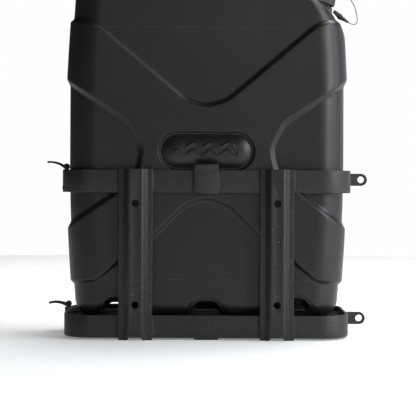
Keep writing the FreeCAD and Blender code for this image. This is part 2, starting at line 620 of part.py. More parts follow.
def lanyard_end_ferrule():
    """Crimp sleeve that hangs under the collar's lug."""
    axis = end_ferrule_axis()
    start = lug_point() - axis * END_FERRULE_BURY
    sleeve = Part.makeCylinder(END_FERRULE_R, END_FERRULE_LENGTH + END_FERRULE_BURY, start, axis)
    above = Part.makeCylinder(2 * COLLAR_EYE, 2 * END_FERRULE_LENGTH, Vector(0, 0, collar_underside()))
    return sleeve.cut(on_neck(above))


def anchor_axis():
    axis = Vector(ANCHOR_AXIS)
    axis.normalize()
    return axis


def lanyard_anchor(can_form):
    """Round boss on the can's shoulder, cut to the can's surface."""
    axis = anchor_axis()
    peg = Part.makeCylinder(ANCHOR_R, ANCHOR_BURY + ANCHOR_STAND, ANCHOR - axis * ANCHOR_BURY, axis)
    outside = peg.cut(can_form)
    return max(outside.Solids, key=lambda solid: solid.Volume)


def lanyard_ferrule():
    axis = anchor_axis()
    return Part.makeCone(FERRULE_R, FERRULE_TIP_R, FERRULE_LENGTH, ANCHOR + axis * ANCHOR_STAND, axis)


def cable_path(points):
    """Straight runs joined by tangent arcs, each as large as its two runs allow."""
    edges = []
    place = points[0]
    for before, corner, after in zip(points, points[1:], points[2:]):
        run_in = corner - before
        run_out = after - corner
        half_turn = run_in.getAngle(run_out) / 2
        radius = CABLE_ROUNDING * min(run_in.Length, run_out.Length) / math.tan(half_turn)
        trim = radius * math.tan(half_turn)
        run_in.normalize()
        run_out.normalize()
        start = corner - run_in * trim
        end = corner + run_out * trim
        inward = run_out - run_in
        inward.normalize()
        middle = corner + inward * (radius / math.cos(half_turn) - radius)
        edges.append(Part.LineSegment(place, start).toShape())
        edges.append(Part.Arc(start, middle, end).toShape())
        place = end
        print("lanyard arc radius %.1f mm" % radius)
    edges.append(Part.LineSegment(place, points[-1]).toShape())
    return Part.Wire(edges)


def lanyard_cable():
    """Thin wire rope from the can's ferrule to the collar's ferrule."""
    ferrule_tip = ANCHOR + anchor_axis() * (ANCHOR_STAND + FERRULE_LENGTH)
    sleeve_tip = lug_point() + end_ferrule_axis() * END_FERRULE_LENGTH
    points = [ferrule_tip] + list(CABLE_ROUTE) + [sleeve_tip]
    path = cable_path(points)
    section = Part.Wire(Part.makeCircle(CABLE_R, points[0], points[1] - points[0]))
    tube = path.makePipeShell([section], True, True)
    wanted = math.pi * CABLE_R ** 2 * path.Length
    print("lanyard length %.1f mm, volume %.2f, section times length %.2f" % (path.Length, tube.Volume, wanted))
    return tube


# ---------------------------------------------------------------- write every node
for ring in RINGS:
    name = ring["name"]
    save(name + "_rear_band", rear_band(ring))
    save(name + "_front_bow", front_bow(ring))
    save(name + "_fixed_ear", lock_ear(ring, -1))
    save(name + "_bow_ear", lock_ear(ring, 1))
    save(name + "_frame_hinge", hinge_leaf(ring, -1))
    save(name + "_bow_hinge", hinge_leaf(ring, 1))
    save(name + "_hinge_bolt", hinge_bolt(ring))
    save(name + "_hinge_nut", hinge_nut(ring))
    save(name + "_lever_pin", lever_pin(ring))
    save(name + "_cam_lever", cam_lever(ring))
save("left_channel", channel(-CHANNEL_X))
save("right_channel", channel(CHANNEL_X))
save("floor_plate", floor_plate())
save("floor_beam", floor_beam())
save("strap_hook", strap_hook())
save("tank_body", tank_body())
save("filler_cap", filler_cap())
save("cap_gasket", cap_gasket())
save("cap_collar", cap_collar())
save("lanyard_anchor", lanyard_anchor(shell_form(0.0)))
save("lanyard_ferrule", lanyard_ferrule())
save("lanyard_end_ferrule", lanyard_end_ferrule())
save("lanyard_cable", lanyard_cable())
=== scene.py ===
import json
import math

import bmesh
import bpy
import numpy as np
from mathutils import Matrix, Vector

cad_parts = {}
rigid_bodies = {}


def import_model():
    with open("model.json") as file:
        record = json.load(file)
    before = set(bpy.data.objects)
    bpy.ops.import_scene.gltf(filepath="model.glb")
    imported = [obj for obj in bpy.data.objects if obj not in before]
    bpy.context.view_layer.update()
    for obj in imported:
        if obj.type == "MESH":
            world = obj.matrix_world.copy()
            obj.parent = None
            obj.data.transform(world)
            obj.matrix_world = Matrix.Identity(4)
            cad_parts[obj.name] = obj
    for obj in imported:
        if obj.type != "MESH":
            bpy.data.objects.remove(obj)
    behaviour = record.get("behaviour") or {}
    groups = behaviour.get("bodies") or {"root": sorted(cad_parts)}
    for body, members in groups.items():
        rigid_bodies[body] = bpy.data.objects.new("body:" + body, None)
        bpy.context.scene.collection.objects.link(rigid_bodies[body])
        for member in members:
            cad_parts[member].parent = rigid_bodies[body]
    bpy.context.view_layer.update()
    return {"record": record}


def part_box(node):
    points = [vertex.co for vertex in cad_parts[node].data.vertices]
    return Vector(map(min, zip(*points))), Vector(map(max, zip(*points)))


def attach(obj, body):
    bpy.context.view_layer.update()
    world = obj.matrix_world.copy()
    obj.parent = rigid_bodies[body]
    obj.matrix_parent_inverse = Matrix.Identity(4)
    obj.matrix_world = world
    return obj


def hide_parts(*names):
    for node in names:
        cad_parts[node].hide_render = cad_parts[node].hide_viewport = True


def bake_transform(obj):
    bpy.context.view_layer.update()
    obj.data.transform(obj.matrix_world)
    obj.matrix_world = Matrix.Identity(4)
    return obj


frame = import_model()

import openvdb
from mathutils import Matrix, Vector

MM = 0.001


# ---------------------------------------------------------------- camera, light and stage
WORLD_AROUND = ((0.0, 0.16), (0.08, 0.08), (0.25, 0.07), (0.44, 0.08), (0.470, 1.05), (0.68, 1.05),
                (0.78, 0.42), (0.92, 0.27))
WORLD_UPWARDS = ((0.56, 1.0), (0.70, 0.10))
WORLD_COLOUR = (0.94, 0.97, 1.0, 1.0)
# name: place, target, size, watts, colour
LIGHTS = {
    "key_right": ((1.7, -0.35, 0.75), (0, 0, 0.25), (0.6, 1.3), 10, (0.76, 0.88, 1.0)),
    "sky_right": ((1.45, -0.25, 1.55), (0, 0, 0.25), (0.9, 0.9), 13, (0.74, 0.86, 1.0)),
    "window_right": ((1.5, -1.15, 0.75), (0, 0, 0.25), (0.4, 1.0), 20, (1.0, 0.96, 0.90)),
    "soft_top": ((0.5, 0.9, 2.2), (0, 0.2, 0.0), (2.0, 1.6), 57, (1.0, 1.0, 1.0)),
    "front_fill": ((0.3, -2.8, 1.0), (0, 0, 0.25), (0.9, 0.9), 5, (1.0, 0.96, 0.91)),
}
STAGE_R = 2.0
STAGE_SIDES = 96


def add_camera():
    """Level camera at the height of the badge, lowered on its target by the lens shift."""
    data = bpy.data.cameras.new("camera")
    data.sensor_width = 36.0
    data.lens = 136.6
    data.shift_y = -0.0793
    data.clip_end = 50.0
    camera = bpy.data.objects.new("camera", data)
    camera.location = (0.0017, -2.039, 0.2042)
    camera.rotation_euler = (math.radians(90.0), 0.0, 0.0)
    camera.rotation_euler.rotate_axis("Z", math.radians(0.25))
    bpy.context.scene.collection.objects.link(camera)
    bpy.context.scene.camera = camera
    bpy.context.scene.view_settings.view_transform = "Standard"


def add_area_light(name, place, target, size, power, colour):
    data = bpy.data.lights.new(name, "AREA")
    data.shape = "RECTANGLE"
    data.size, data.size_y = size
    data.energy = power
    data.color = colour
    light = bpy.data.objects.new(name, data)
    light.location = place
    aim = Vector(target) - Vector(place)
    light.rotation_euler = aim.to_track_quat("-Z", "Y").to_euler()
    bpy.context.scene.collection.objects.link(light)


def add_world():
    """Dark studio, white behind the object and on its right, with a pale horizon elsewhere."""
    world = bpy.data.worlds.new("studio")
    bpy.context.scene.world = world
    world.use_nodes = True
    tree = world.node_tree

    def node(kind, *inputs, **settings):
        made = tree.nodes.new(kind)
        for name, value in settings.items():
            setattr(made, name, value)
        for socket, output in zip(made.inputs, inputs):
            if isinstance(output, float):
                socket.default_value = output
            else:
                tree.links.new(output, socket)
        return made

    def stops(value, pairs):
        ramp = node("ShaderNodeValToRGB", value)
        elements = ramp.color_ramp.elements
        while len(elements) < len(pairs):
            elements.new(0.5)
        for element, (position, level) in zip(elements, pairs):
            element.position = position
            element.color = (level, level, level, 1.0)
        return ramp.outputs["Color"]

    direction = node("ShaderNodeTexCoord").outputs["Generated"]
    parts = node("ShaderNodeSeparateXYZ", direction).outputs
    turn = node("ShaderNodeMath", parts["X"], parts["Y"], operation="ARCTAN2").outputs["Value"]
    # 0 and 1 behind the camera, 0.25 on the left, 0.5 behind the object, 0.75 on the right
    share = node("ShaderNodeMath", turn, 1 / (2 * math.pi), 0.5, operation="MULTIPLY_ADD").outputs["Value"]
    around = stops(share, WORLD_AROUND)
    height = node("ShaderNodeMath", parts["Z"], 0.5, 0.5, operation="MULTIPLY_ADD").outputs["Value"]
    upwards = stops(height, WORLD_UPWARDS)
    level = node("ShaderNodeMath", around, upwards, operation="MULTIPLY").outputs["Value"]
    background = tree.nodes["Background"]
    background.inputs["Color"].default_value = WORLD_COLOUR
    tree.links.new(level, background.inputs["Strength"])


def add_lights():
    """Cool and warm soft lights on the right, a large top light behind the middle and a weak fill."""
    for name, values in LIGHTS.items():
        add_area_light(name, *values)


def add_stage():
    """Round pale floor that glows a little, so that it stays pale far from the lights."""
    mesh = bpy.data.meshes.new("stage")
    angles = [2 * math.pi * k / STAGE_SIDES for k in range(STAGE_SIDES)]
    points = [(STAGE_R * math.cos(angle), STAGE_R * math.sin(angle), 0.0) for angle in angles]
    mesh.from_pydata(points, [], [tuple(range(STAGE_SIDES))])
    stage = bpy.data.objects.new("stage", mesh)
    bpy.context.scene.collection.objects.link(stage)
    material = bpy.data.materials.new("pale_floor")
    material.use_nodes = True
    shader = material.node_tree.nodes["Principled BSDF"]
    shader.inputs["Base Color"].default_value = (0.86, 0.86, 0.86, 1.0)
    shader.inputs["Roughness"].default_value = 0.9
    shader.inputs["Specular IOR Level"].default_value = 0.1
    shader.inputs["Emission Color"].default_value = (1.0, 1.0, 1.0, 1.0)
    shader.inputs["Emission Strength"].default_value = 0.22
    mesh.materials.append(material)


# ---------------------------------------------------------------- materials
WITNESS_LEVELS = (0.388, 0.074)   # heights of the can's two mould lines
WITNESS_HALF = 0.0007             # half width of a mould line


class Nodes:
    """Small builder for a procedural material's node tree."""

    def __init__(self, name, roughness, metallic=0.0):
        self.material = bpy.data.materials.new(name)
        self.material.use_nodes = True
        self.tree = self.material.node_tree
        self.shader = self.tree.nodes["Principled BSDF"]
        self.shader.inputs["Roughness"].default_value = roughness
        self.shader.inputs["Metallic"].default_value = metallic
        self.shader.inputs["Specular IOR Level"].default_value = 0.4
        self.place = self.add("ShaderNodeTexCoord").outputs["Object"]

    def add(self, kind, **values):
        node = self.tree.nodes.new(kind)
        for key, value in values.items():
            setattr(node, key, value)
        return node

    def link(self, output, target):
        self.tree.links.new(output, target)

    def noise(self, scale, detail=3.0, roughness=0.55, stretch=(1, 1, 1)):
        mapping = self.add("ShaderNodeMapping")
        mapping.inputs["Scale"].default_value = stretch
        self.link(self.place, mapping.inputs["Vector"])
        node = self.add("ShaderNodeTexNoise")
        node.inputs["Scale"].default_value = scale
        node.inputs["Detail"].default_value = detail
        node.inputs["Roughness"].default_value = roughness
        self.link(mapping.outputs["Vector"], node.inputs["Vector"])
        return node.outputs["Fac"]

    def ramp(self, value, stops):
        """stops are (position, value or colour) pairs."""
        node = self.add("ShaderNodeValToRGB")
        elements = node.color_ramp.elements
        while len(elements) < len(stops):
            elements.new(0.5)
        for element, (position, colour) in zip(elements, stops):
            element.position = position
            if not hasattr(colour, "__len__"):
                colour = (colour, colour, colour)
            element.color = (*colour, 1.0)
        self.link(value, node.inputs["Fac"])
        return node.outputs["Color"]

    def math(self, operation, a, b):
        node = self.add("ShaderNodeMath", operation=operation)
        for socket, value in zip(node.inputs, (a, b)):
            if isinstance(value, (int, float)):
                socket.default_value = value
            else:
                self.link(value, socket)
        return node.outputs["Value"]

    def mix(self, factor, a, b):
        node = self.add("ShaderNodeMix", data_type="RGBA")
        sockets = [s for s in node.inputs if s.type == "RGBA"]
        if isinstance(factor, (int, float)):
            node.inputs["Factor"].default_value = factor
        else:
            self.link(factor, node.inputs["Factor"])
        for socket, value in zip(sockets, (a, b)):
            if hasattr(value, "is_linked"):
                self.link(value, socket)
            else:
                socket.default_value = (*value, 1.0)
        return next(s for s in node.outputs if s.type == "RGBA")

    def parts(self, vector):
        node = self.add("ShaderNodeSeparateXYZ")
        self.link(vector, node.inputs["Vector"])
        return node.outputs["X"], node.outputs["Y"], node.outputs["Z"]

    def line(self, value, level, width):
        """One on a thin line at a level of the value, falling to nought beside it."""
        away = self.math("ABSOLUTE", self.math("SUBTRACT", value, level), 0.0)
        return self.math("SUBTRACT", 1.0, self.math("MINIMUM", self.math("DIVIDE", away, width), 1.0))

    def bump(self, height, strength, distance, onto=None):
        node = self.add("ShaderNodeBump")
        node.inputs["Strength"].default_value = strength
        node.inputs["Distance"].default_value = distance
        self.link(height, node.inputs["Height"])
        if onto is not None:
            self.link(onto, node.inputs["Normal"])
        return node.outputs["Normal"]

    def finish(self, colour, roughness=None, normal=None):
        self.link(colour, self.shader.inputs["Base Color"])
        if roughness is not None:
            self.link(roughness, self.shader.inputs["Roughness"])
        if normal is not None:
            self.link(normal, self.shader.inputs["Normal"])
        return self.material


def moulded_plastic():
    """Satin black polyethylene: faint orange peel, dull streaks, fine mould witness lines."""
    n = Nodes("black_polyethylene", 0.46)
    cloud = n.noise(9.0, 4.0)
    base = n.ramp(cloud, [(0.3, (0.0062, 0.0060, 0.0058)), (0.7, (0.0098, 0.0095, 0.0091))])
    grain = n.ramp(n.noise(520.0, 2.0), [(0.40, 0.0), (0.70, 0.35)])
    base = n.mix(grain, base, (0.024, 0.024, 0.024))
    _, y, z = n.parts(n.place)
    lines = n.line(y, 0.0, WITNESS_HALF)
    for level in WITNESS_LEVELS:
        lines = n.math("MAXIMUM", lines, n.line(z, level, WITNESS_HALF))
    broken = n.ramp(n.noise(30.0, 3.0), [(0.40, 0.25), (0.60, 1.0)])
    lines = n.math("MULTIPLY", lines, broken)
    colour = n.mix(n.math("MULTIPLY", lines, 0.3), base, (0.10, 0.10, 0.10))
    smear = n.noise(26.0, 5.0, 0.65, (1.0, 1.0, 0.35))
    roughness = n.ramp(smear, [(0.3, 0.33), (0.7, 0.44)])
    peel = n.bump(n.noise(900.0, 2.0), 0.12, 0.0004)
    return n.finish(colour, roughness, n.bump(lines, 0.6, 0.0003, peel))


def powder_coat():
    """Black powder coat: fine pebbled texture, a few light scuffs."""
    n = Nodes("black_powder_coat", 0.5)
    cloud = n.noise(14.0, 4.0)
    base = n.ramp(cloud, [(0.3, (0.0080, 0.0078, 0.0076)), (0.75, (0.0128, 0.0124, 0.0121))])
    grain = n.ramp(n.noise(650.0, 2.0), [(0.42, 0.0), (0.70, 0.8)])
    base = n.mix(grain, base, (0.036, 0.035, 0.034))
    specks = n.ramp(n.noise(420.0, 2.0, 0.6), [(0.70, 0.0), (0.74, 1.0)])
    where = n.ramp(n.noise(17.0, 2.0), [(0.56, 0.0), (0.66, 1.0)])
    worn = n.math("MULTIPLY", specks, where)
    colour = n.mix(worn, base, (0.22, 0.22, 0.22))
    roughness = n.ramp(n.noise(60.0, 3.0), [(0.3, 0.42), (0.7, 0.55)])
    pebbles = n.bump(n.noise(1000.0, 2.0), 0.55, 0.0004)
    return n.finish(colour, roughness, pebbles)


def painted_shade_floor_coat():
    """The same coat on the floor plate, darker and duller than elsewhere: painted shade for the floor seen
    inside the grooves.
    """
    n = Nodes("painted_shade_floor_coat", 0.85)
    n.shader.inputs["Specular IOR Level"].default_value = 0.08
    # painted shade: darker than the coat on the other parts, without its light grain and specks
    colour = n.ramp(n.noise(25.0, 4.0), [(0.3, (0.0080, 0.0080, 0.0080)), (0.7, (0.0150, 0.0148, 0.0145))])
    return n.finish(colour, None, n.bump(n.noise(1000.0, 2.0), 0.3, 0.0003))


def cap_plastic():
    n = Nodes("cap_plastic", 0.5)
    cloud = n.noise(20.0, 3.0)
    colour = n.ramp(cloud, [(0.3, (0.018, 0.018, 0.0185)), (0.7, (0.028, 0.027, 0.027))])
    roughness = n.ramp(n.noise(70.0, 3.0), [(0.3, 0.44), (0.7, 0.58)])
    return n.finish(colour, roughness, n.bump(n.noise(1100.0, 2.0), 0.15, 0.0003))


def plain_finish(name, roughness, mottle, dark, light, grain, depth, metallic=0.0):
    """One uniform finish: mottle and grain are noise scales, depth is the grain's strength."""
    n = Nodes(name, roughness, metallic)
    colour = n.ramp(n.noise(mottle, 3.0), [(0.3, dark), (0.7, light)])
    return n.finish(colour, None, n.bump(n.noise(grain, 2.0), depth, 0.0002))


def black_oxide():
    n = Nodes("black_oxide", 0.42, 0.3)
    colour = n.ramp(n.noise(150.0, 4.0), [(0.3, (0.014, 0.014, 0.014)), (0.7, (0.028, 0.027, 0.026))])
    roughness = n.ramp(n.noise(300.0, 3.0), [(0.3, 0.35), (0.7, 0.5)])
    return n.finish(colour, roughness, n.bump(n.noise(900.0, 2.0), 0.1, 0.0002))


def lever_paint():
    dark, light = (0.010, 0.010, 0.011), (0.016, 0.016, 0.017)
    return plain_finish("lever_paint", 0.4, 40.0, dark, light, 1300.0, 0.12)


def seal_rubber():
    dark, light = (0.030, 0.030, 0.030), (0.045, 0.044, 0.043)
    return plain_finish("seal_rubber", 0.7, 120.0, dark, light, 800.0, 0.1)


def crimp_black():
    dark, light = (0.008, 0.008, 0.008), (0.016, 0.016, 0.016)
    return plain_finish("crimp_black", 0.45, 200.0, dark, light, 900.0, 0.2)


def wire_rope():
    """Dull bare steel."""
    dark, light = (0.10, 0.10, 0.11), (0.26, 0.26, 0.27)
    return plain_finish("wire_rope", 0.42, 700.0, dark, light, 2500.0, 0.5, metallic=0.85)


# ---------------------------------------------------------------- signed distance tools, in millimetres
def round_max(a, b, radius):
    """Intersection of two distance fields, its edge rounded."""
    inside = np.minimum(np.maximum(a, b), -radius)
    return inside + np.hypot(np.maximum(a + radius, 0), np.maximum(b + radius, 0))


def round_min(a, b, radius):
    """Union of two distance fields with a fillet between them."""
    return -round_max(-a, -b, radius)


def smooth_step(value, low, high):
    t = np.clip((value - low) / (high - low), 0, 1)
    return t * t * (3 - 2 * t)


def straight_ramp(value, low, high, soft=0.16):
    """Rises in a straight line from 0 at low to 1 at high, with both ends slightly rounded."""
    t = (value - low) / (high - low)
    foot = np.clip(t + soft, 0, 2 * soft) ** 2 / (4 * soft)
    head = np.clip(1 - t + soft, 0, 2 * soft) ** 2 / (4 * soft)
    return np.where(t < 0.5, foot + np.maximum(t - soft, 0), 1 - head - np.maximum(1 - t - soft, 0))


def rounded_box_2d(u, v, half_u, half_v, radius):
    a = np.abs(u) - half_u
    b = np.abs(v) - half_v
    return round_max(a, b, radius)


def rounded_polygon(corners, step=4.0):
    """Points along a closed outline whose corners (u, v, radius) are arcs."""
    points = []
    count = len(corners)
    for index in range(count):
        corner = np.array(corners[index][:2], float)
        radius = corners[index][2]
        before = np.array(corners[index - 1][:2], float) - corner
        after = np.array(corners[(index + 1) % count][:2], float) - corner
        before /= np.linalg.norm(before)
        after /= np.linalg.norm(after)
        half_angle = math.acos(np.clip(before @ after, -1, 1)) / 2
        if not radius:
            points.append(corner)
            continue
        trim = radius / math.tan(half_angle)
        inward = before + after
        inward /= np.linalg.norm(inward)
        centre = corner + inward * radius / math.sin(half_angle)
        start = corner + before * trim - centre
        end = corner + after * trim - centre
        sweep = math.pi - 2 * half_angle
        pieces = max(2, int(radius * sweep / step) + 1)
        for piece in range(pieces + 1):
            t = piece / pieces
            blend = start * math.sin((1 - t) * sweep) + end * math.sin(t * sweep)
            points.append(centre + blend / math.sin(sweep))
    return np.array(points)


def polygon_distance(u, v, outline):
    """Signed distance to a closed outline, negative inside."""
    nearest = np.full(np.shape(u), 1e9)
    inside = np.zeros(np.shape(u), bool)
    for (ax, ay), (bx, by) in zip(outline, np.roll(outline, -1, axis=0)):
        edge_x, edge_y = bx - ax, by - ay
        along = ((u - ax) * edge_x + (v - ay) * edge_y) / (edge_x ** 2 + edge_y ** 2 + 1e-12)
        along = np.clip(along, 0, 1)
        nearest = np.minimum(nearest, (u - ax - along * edge_x) ** 2 + (v - ay - along * edge_y) ** 2)
        if edge_y:
            crosses = (ay > v) != (by > v)
            inside ^= crosses & (u < ax + (v - ay) * edge_x / edge_y)
    distance = np.sqrt(nearest)
    return np.where(inside, -distance, distance)


def graded_lines(low, high, voxel, fine):
    """Grid lines along one axis, twice as close inside the fine spans."""
    lines = [low - 2 * voxel]
    while lines[-1] < high + 2 * voxel:
        close = any(start <= lines[-1] < end for start, end in fine)
        lines.append(lines[-1] + (voxel / 2 if close else voxel))
    return np.array(lines)


PROBE = 0.05                      # half length over which a field's slope is measured
SETTLE_PASSES = 3


def field_mesh(name, field, low, high, voxel, fine):
    """Closed mesh of the zero surface of field(x, y, z), its points moved exactly onto it."""
    axes = [graded_lines(a, b, voxel, spans) for a, b, spans in zip(low, high, fine)]
    x, y, z = (axis.astype(np.float32) for axis in axes)
    values = field(x[:, None, None], y[None, :, None], z[None, None, :])
    grid = openvdb.FloatGrid(4 * voxel)
    grid.copyFromArray(np.clip(values, -4 * voxel, 4 * voxel).astype(np.float32))
    points, quads = grid.convertToQuads(0.0)
    points = np.stack([np.interp(index, np.arange(len(axis)), axis) for index, axis in zip(points.T, axes)],
                      axis=1)
    for _ in range(SETTLE_PASSES):
        x, y, z = points.T
        here = field(x, y, z)
        slope = np.stack([field(x + PROBE, y, z) - field(x - PROBE, y, z),
                          field(x, y + PROBE, z) - field(x, y - PROBE, z),
                          field(x, y, z + PROBE) - field(x, y, z - PROBE)], axis=1) / (2 * PROBE)
        size = np.maximum((slope ** 2).sum(1), 0.25)
        move = slope * (here / size)[:, None]
        points -= np.clip(move, -0.4 * voxel, 0.4 * voxel)
    mesh = bpy.data.meshes.new(name)
    mesh.vertices.add(len(points))
    mesh.vertices.foreach_set("co", (points * MM).astype(np.float32).ravel())
    mesh.loops.add(quads.size)
    mesh.polygons.add(len(quads))
    mesh.polygons.foreach_set("loop_start", np.arange(0, quads.size, 4, dtype=np.int32))
    mesh.loops.foreach_set("vertex_index", quads[:, ::-1].astype(np.int32).ravel())
    mesh.update(calc_edges=True)
    mesh.validate()
    mesh.shade_smooth()
    return mesh


# ---------------------------------------------------------------- the can
PANEL_Y = 78.1                    # half depth of the flat panels between the raised cross
RELIEF = 4.4                      # height of the cross over the panels
WALL_RUN = 4.8                    # width of the slope at the cross's edge
CAN_CORNER = 35.0
CAN_FLOOR = 24.0
CAN_TOP = 458.0
FOOT_R = 24.0                     # rounding round the underside
CROWN_R = 30.0                    # rounding between the level top and the sloped shoulder
RIM_R = 13.0                      # rounding round the top, and what the narrow sides have more of it
RIM_SIDE_R = 12.0
FILLET_R = 6.0                    # rounding where grips, pocket and pedestal meet the can
SLOPE_POINT = (156.9, 412.3)
SLOPE_ANGLE = math.radians(30.5)
HALF_WIDTH_KNOTS = ((20, 164.0), (43, 165.0), (64, 166.6), (120, 170.0), (166, 171.9), (217, 172.7),
                    (320, 172.6), (360, 170.6), (402, 168.0), (424, 166.6), (470, 164.0))
KNOT_BLUR = 16                    # reach in millimetres over which the knots are smoothed
# half outline of the raised cross, from the top of its axis round the right side to the bottom
CROSS = ((0.0, 290.0, 30.0), (26.0, 297.6, 40.0), (140.0, 394.0, 60.0), (166.0, 398.0, 0.0),
         (230.0, 402.0, 0.0), (230.0, 356.0, 0.0), (170.0, 317.0, 0.0), (97.0, 269.5, 30.0),
         (80.0, 238.0, 30.0), (86.0, 210.0, 25.0), (116.0, 179.3, 30.0), (170.0, 143.0, 0.0),
         (230.0, 104.0, 0.0), (230.0, 64.0, 0.0), (166.0, 69.0, 0.0), (136.0, 73.0, 25.0),
         (109.0, 96.0, 60.0), (66.5, 127.5, 60.0), (27.0, 167.0, 40.0), (0.0, 175.5, 30.0))
CROSS_OUTLINE = rounded_polygon(list(CROSS) + [(-x, z, r) for x, z, r in reversed(CROSS[1:-1])])

BADGE_Z = 234.0
BADGE = {"outer": (60.0, 24.0), "inner": (55.6, 20.2), "sink": 4.6, "dome": 6.4, "power": 2.2, "dip": 3.9}
BADGE_WALL = 1.3
WAVE_LINES = ((7.5, 33.0), (-1.5, 39.0))         # height above the badge's middle, half length
WAVE_LENGTH = 21.0
WAVE_RISE = 2.5
WAVE_STAND = 1.3                  # how far the waves stand out of the badge
WAVE_EDGE = (0.7, 1.7)            # distances from a wave's middle where its side starts and ends

GROOVES = ((-110.0, 43.6, 6.9), (0.0, 40.5, 6.0), (110.0, 41.3, 9.2))  # x, tunnel top, rise at the mouths
GROOVE_CREST = 11.0               # half width at the top
GROOVE_FLARE = 0.72
GROOVE_MOUTH = (50.0, 78.0)       # the grooves rise between these distances from the middle
GROOVE_TOP_R = 4.0
GROOVE_EDGE_R = 3.0
BORDER_SINK = 1.3                 # depth of the sunk border round a groove's mouth
BORDER_EDGE = (4.0, 6.5)          # distances from the groove where the border's side starts and ends

GRIP_GAP = (-104.0, 38.0, 436.0, 472.0)          # x from, x to, z from, z to of the hand gap
GRIP_GAP_R = 12.0
GRIP_TOP = 494.0
GRIP_LEAN = 20.0 / 44.0           # slope of the grips' outer ends
GRIP_POST = 8.0                   # thickness of the feet at the top
GRIP_BURY = 16.0
GRIP_CORNER = 16.0
GRIP_ROUND = 8.0                  # rounding of a bar's section
MIDDLE_BAR_HALF = 12.0
SIDE_BAR_Y = 51.0
SIDE_BAR_HALF = 11.0
FAR_CUT = 200.0                   # reach of the pocket's cut upwards and of the neck's bore downwards

SEAT = (129.1, 425.6)
NECK_TILT = math.radians(10.0)
SEAT_R = 38.0
SEAT_WALL_R = 4.0
PEDESTAL_R = 33.0
PEDESTAL_HEIGHT = 26.0
NECK_BORE_R = 25.0


def half_width(z):
    """Half width of the can at the level of its panels, smoothed over its knots."""
    levels = np.arange(CAN_FLOOR - 64.0, GRIP_TOP + 46.0, 1.0)
    knots = np.array(HALF_WIDTH_KNOTS, float)
    widths = np.interp(levels, knots[:, 0], knots[:, 1])
    window = np.hanning(2 * KNOT_BLUR + 1)
    widths = np.convolve(np.pad(widths, KNOT_BLUR, mode="edge"), window / window.sum(), mode="valid")
    return np.interp(z, levels, widths)


def groove_field(x, y, z):
    """Distance to the nearest of the grooves that run front to back under the can."""
    nearest = np.inf
    mouth = smooth_step(np.abs(y), *GROOVE_MOUTH)
    for centre, tunnel_top, rise in GROOVES:
        top = tunnel_top + rise * mouth
        side = (np.abs(x - centre) - GROOVE_CREST - (top - z) * GROOVE_FLARE) / math.hypot(1, GROOVE_FLARE)
        nearest = np.minimum(nearest, round_max(z - top, side, GROOVE_TOP_R))
    return nearest


def stadium(x, z, half_length, radius):
    return np.hypot(np.maximum(np.abs(x) - half_length + radius, 0), z - BADGE_Z) - radius


def badge_waves(x, z):
    """Two raised wavy lines on the badge."""
    nearest = np.inf
    turn = 2 * math.pi / WAVE_LENGTH
    for level, reach in WAVE_LINES:
        wave = BADGE_Z + level + WAVE_RISE * np.sin(turn * x)
        slope = WAVE_RISE * turn * np.cos(turn * x)
        line = np.hypot(np.maximum(np.abs(x) - reach, 0), (z - wave) / np.hypot(1, slope))
        nearest = np.minimum(nearest, line)
    return WAVE_STAND * (1 - smooth_step(nearest, *WAVE_EDGE))


def badge_relief(x, z):
    """A sunk border round a domed plate."""
    outer = stadium(x, z, *BADGE["outer"])
    inner = stadium(x, z, *BADGE["inner"])
    border = straight_ramp(-outer, 0, BADGE_WALL) * straight_ramp(inner, -BADGE_WALL / 2, BADGE_WALL / 2)
    depth = np.clip(-inner / BADGE["inner"][1], 0, 1)
    dome = BADGE["dome"] * (1 - (1 - depth) ** BADGE["power"])
    plate = dome - BADGE["dip"] * straight_ramp(-inner, -1, 1)
    return plate - BADGE["sink"] * border + badge_waves(x, z) * smooth_step(-inner, 1, 3)


def relief(x, z):
    """How far the surface stands out of the panels: cross, badge and sunk borders of the grooves."""
    x, z = np.broadcast_arrays(x, z)
    walls = straight_ramp(polygon_distance(x, z, CROSS_OUTLINE), -WALL_RUN / 2, WALL_RUN / 2)
    sunk = BORDER_SINK * (1 - smooth_step(groove_field(x, PANEL_Y, z), *BORDER_EDGE))
    return RELIEF * (1 - walls) + badge_relief(x, z) - sunk


def neck_frame(x, z):
    """Coordinates across and along the tilted neck, from the middle of its seat."""
    dx = x - SEAT[0]
    dz = z - SEAT[1]
    across = dx * math.cos(NECK_TILT) - dz * math.sin(NECK_TILT)
    along = dx * math.sin(NECK_TILT) + dz * math.cos(NECK_TILT)
    return across, along


def grip_field(x, y, z):
    """Three grips side by side, each with its two feet."""
    x0, x1, z0, z1 = GRIP_GAP
    middle = (x0 + x1) / 2
    half = (x1 - x0) / 2
    side = np.abs(x - middle) - half - GRIP_POST - (GRIP_TOP - z) * GRIP_LEAN
    block = round_max(z - GRIP_TOP, side / math.hypot(1, GRIP_LEAN), GRIP_CORNER)
    block = round_max(block, CAN_TOP - GRIP_BURY - z, 2.0)
    gap = rounded_box_2d(x - middle, z - (z0 + z1) / 2, half, (z1 - z0) / 2, GRIP_GAP_R)
    block = round_max(block, -gap, FILLET_R)
    side_bars = np.abs(np.abs(y) - SIDE_BAR_Y) - SIDE_BAR_HALF
    return round_max(block, np.minimum(np.abs(y) - MIDDLE_BAR_HALF, side_bars), GRIP_ROUND)


